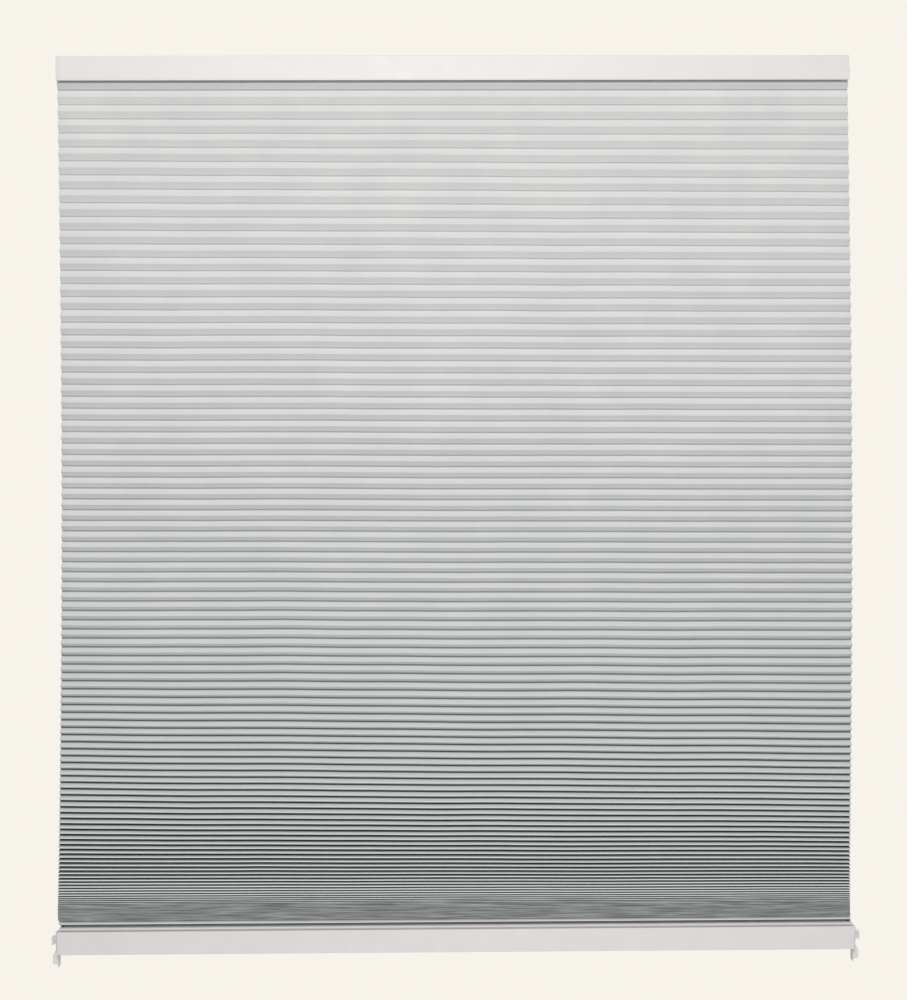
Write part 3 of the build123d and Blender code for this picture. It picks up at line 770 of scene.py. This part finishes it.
def makeTube(name, points, radius, closed=False):
    curve = bpy.data.curves.new(name, "CURVE")
    curve.dimensions, curve.resolution_u = "3D", 8
    curve.bevel_depth, curve.bevel_resolution, curve.use_fill_caps = radius, 3, not closed
    spline = curve.splines.new("NURBS")
    spline.points.add(len(points) - 1)
    for point, place in zip(spline.points, points):
        point.co = (*place, 1.0)
    spline.use_cyclic_u, spline.use_endpoint_u = closed, not closed
    spline.order_u = 3
    source = bpy.data.objects.new(name + "Line", curve)
    bpy.context.collection.objects.link(source)
    graph = bpy.context.evaluated_depsgraph_get()
    mesh = bpy.data.meshes.new_from_object(source.evaluated_get(graph))
    bpy.data.objects.remove(source)
    mesh.materials.clear()
    mesh.materials.append(cordBraid)
    piece = bpy.data.objects.new(name, mesh)
    bpy.context.collection.objects.link(piece)
    return piece


def makeLiftCord(hand, s):
    node = "lift_cord_" + hand
    spoolLow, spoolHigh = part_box("cord_spool_" + hand)
    pinLow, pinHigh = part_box("cord_anchor_" + hand)
    spoolX, holeX = (spoolLow.x + spoolHigh.x) / 2, (pinLow.x + pinHigh.x) / 2
    side = math.copysign(1.0, holeX)
    bendLow = s["height"] - s["turn"]
    run = makeTube("cordRun" + hand.capitalize(), [
        (spoolX, midY - s["spoolRun"], s["height"]),
        (holeX - side * s["turn"], midY, s["height"]), (holeX, midY, s["height"]),
        (holeX, midY, bendLow)], s["radius"])
    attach(run, "head")
    tail = pinLow.z - s["tailBelow"]
    drop = makeTube("cordDrop" + hand.capitalize(), [
        (holeX, midY, bendLow), (holeX, midY, (bendLow + tail) / 2),
        (holeX, midY, tail)], s["radius"])
    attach(drop, "head")
    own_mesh(drop)
    reach = s["knot"] * s["knotTwist"]
    loops = []
    for n in range(s["knotPoints"]):
        a = 2 * math.pi * n / s["knotPoints"]
        loops.append((holeX + reach * (math.sin(a) + 2 * math.sin(2 * a)),
                      midY + reach * (math.cos(a) - 2 * math.cos(2 * a)),
                      tail - s["knotDrop"] - reach * math.sin(3 * a)))
    knot = makeTube("cordKnot" + hand.capitalize(), loops, s["radius"], closed=True)
    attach(knot, "foot")
    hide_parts(node)
    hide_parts(node)


for hand in ("left", "right"):
    makeLiftCord(hand, cordCut)
print("lift cords made")


# stage: pale ground, pale surround, soft light from the front and above
stageSetup = dict(
    surround=(0.930, 0.896, 0.831), surroundLight=0.335,
    floorColour=(0.82, 0.79, 0.74, 1), floorGlow=0.20, floorRoughness=0.9,
    floorDrop=0.45,  # under the lowest point of the blind
    floorRadius=0.95, floorSides=96,
    fadeFrom=0.35, fadeTo=0.98,  # shares of the radius over which the floor thins out
)


def makeStage(s):
    mesh = bpy.data.meshes.new("ground")
    shape = bmesh.new()
    bmesh.ops.create_circle(shape, cap_ends=True, radius=s["floorRadius"],
                            segments=s["floorSides"])
    bmesh.ops.translate(shape, verts=shape.verts, vec=(0, midY, cadBox[0].z - s["floorDrop"]))
    shape.to_mesh(mesh)
    shape.free()
    ground = bpy.data.objects.new("ground", mesh)
    bpy.context.collection.objects.link(ground)
    material, tree, shader, place = newMaterial("groundPaper")
    shader.inputs["Base Color"].default_value = s["floorColour"]
    shader.inputs["Roughness"].default_value = s["floorRoughness"]
    shader.inputs["Emission Color"].default_value = (*s["surround"], 1)
    shader.inputs["Emission Strength"].default_value = s["floorGlow"]
    # the floor thins out into the surround before its rim
    split = addNode(tree, "ShaderNodeSeparateXYZ", None, Vector=place).outputs
    fromMiddle = addNode(tree, "ShaderNodeVectorMath", {"operation": "LENGTH"},
                         Vector=joinXYZ(tree, split[0], split[1], 0.0)).outputs["Value"]
    shown = remap(tree, fromMiddle, s["floorRadius"] * s["fadeFrom"],
                  s["floorRadius"] * s["fadeTo"], 1.0, 0.0)
    feed(tree, shown, shader.inputs["Alpha"])
    mesh.materials.append(material)

    world = bpy.data.worlds.new("surround")
    world.use_nodes = True
    tree = world.node_tree
    tree.nodes.clear()
    # seen by the camera it is plain and pale, as a light it is weaker
    seen = addNode(tree, "ShaderNodeBackground", None, Color=(*s["surround"], 1), Strength=1.0)
    given = addNode(tree, "ShaderNodeBackground", None, Color=(1.0, 1.0, 1.0, 1),
                    Strength=s["surroundLight"])
    mix = tree.nodes.new("ShaderNodeMixShader")
    path = tree.nodes.new("ShaderNodeLightPath")
    tree.links.new(path.outputs["Is Camera Ray"], mix.inputs[0])
    tree.links.new(given.outputs[0], mix.inputs[1])
    tree.links.new(seen.outputs[0], mix.inputs[2])
    out = tree.nodes.new("ShaderNodeOutputWorld")
    tree.links.new(mix.outputs[0], out.inputs[0])
    bpy.context.scene.world = world
    bpy.context.scene.view_settings.view_transform = "Standard"


lightSetup = [
    dict(name="keyLight", place=(-0.12, -2.80, 0.70), size=0.9, power=40, aim=(0, 0, -0.65)),
    dict(name="lowLight", place=(0.30, -2.60, -0.80), size=1.2, power=13, aim=(0, 0, -0.80)),
    dict(name="backLight", place=(0.70, 2.70, 1.30), size=1.2, power=42, aim=(0, 0, -0.45)),
]


def makeLights(lights):
    for s in lights:
        data = bpy.data.lights.new(s["name"], "AREA")
        data.shape, data.size, data.energy = "DISK", s["size"], s["power"]
        lamp = bpy.data.objects.new(s["name"], data)
        bpy.context.collection.objects.link(lamp)
        lamp.visible_camera = False
        lamp.location = s["place"]
        aim = Vector(s["aim"]) - Vector(s["place"])
        lamp.rotation_euler = aim.to_track_quat("-Z", "Y").to_euler()


makeStage(stageSetup)
makeLights(lightSetup)
print("stage and lights placed")
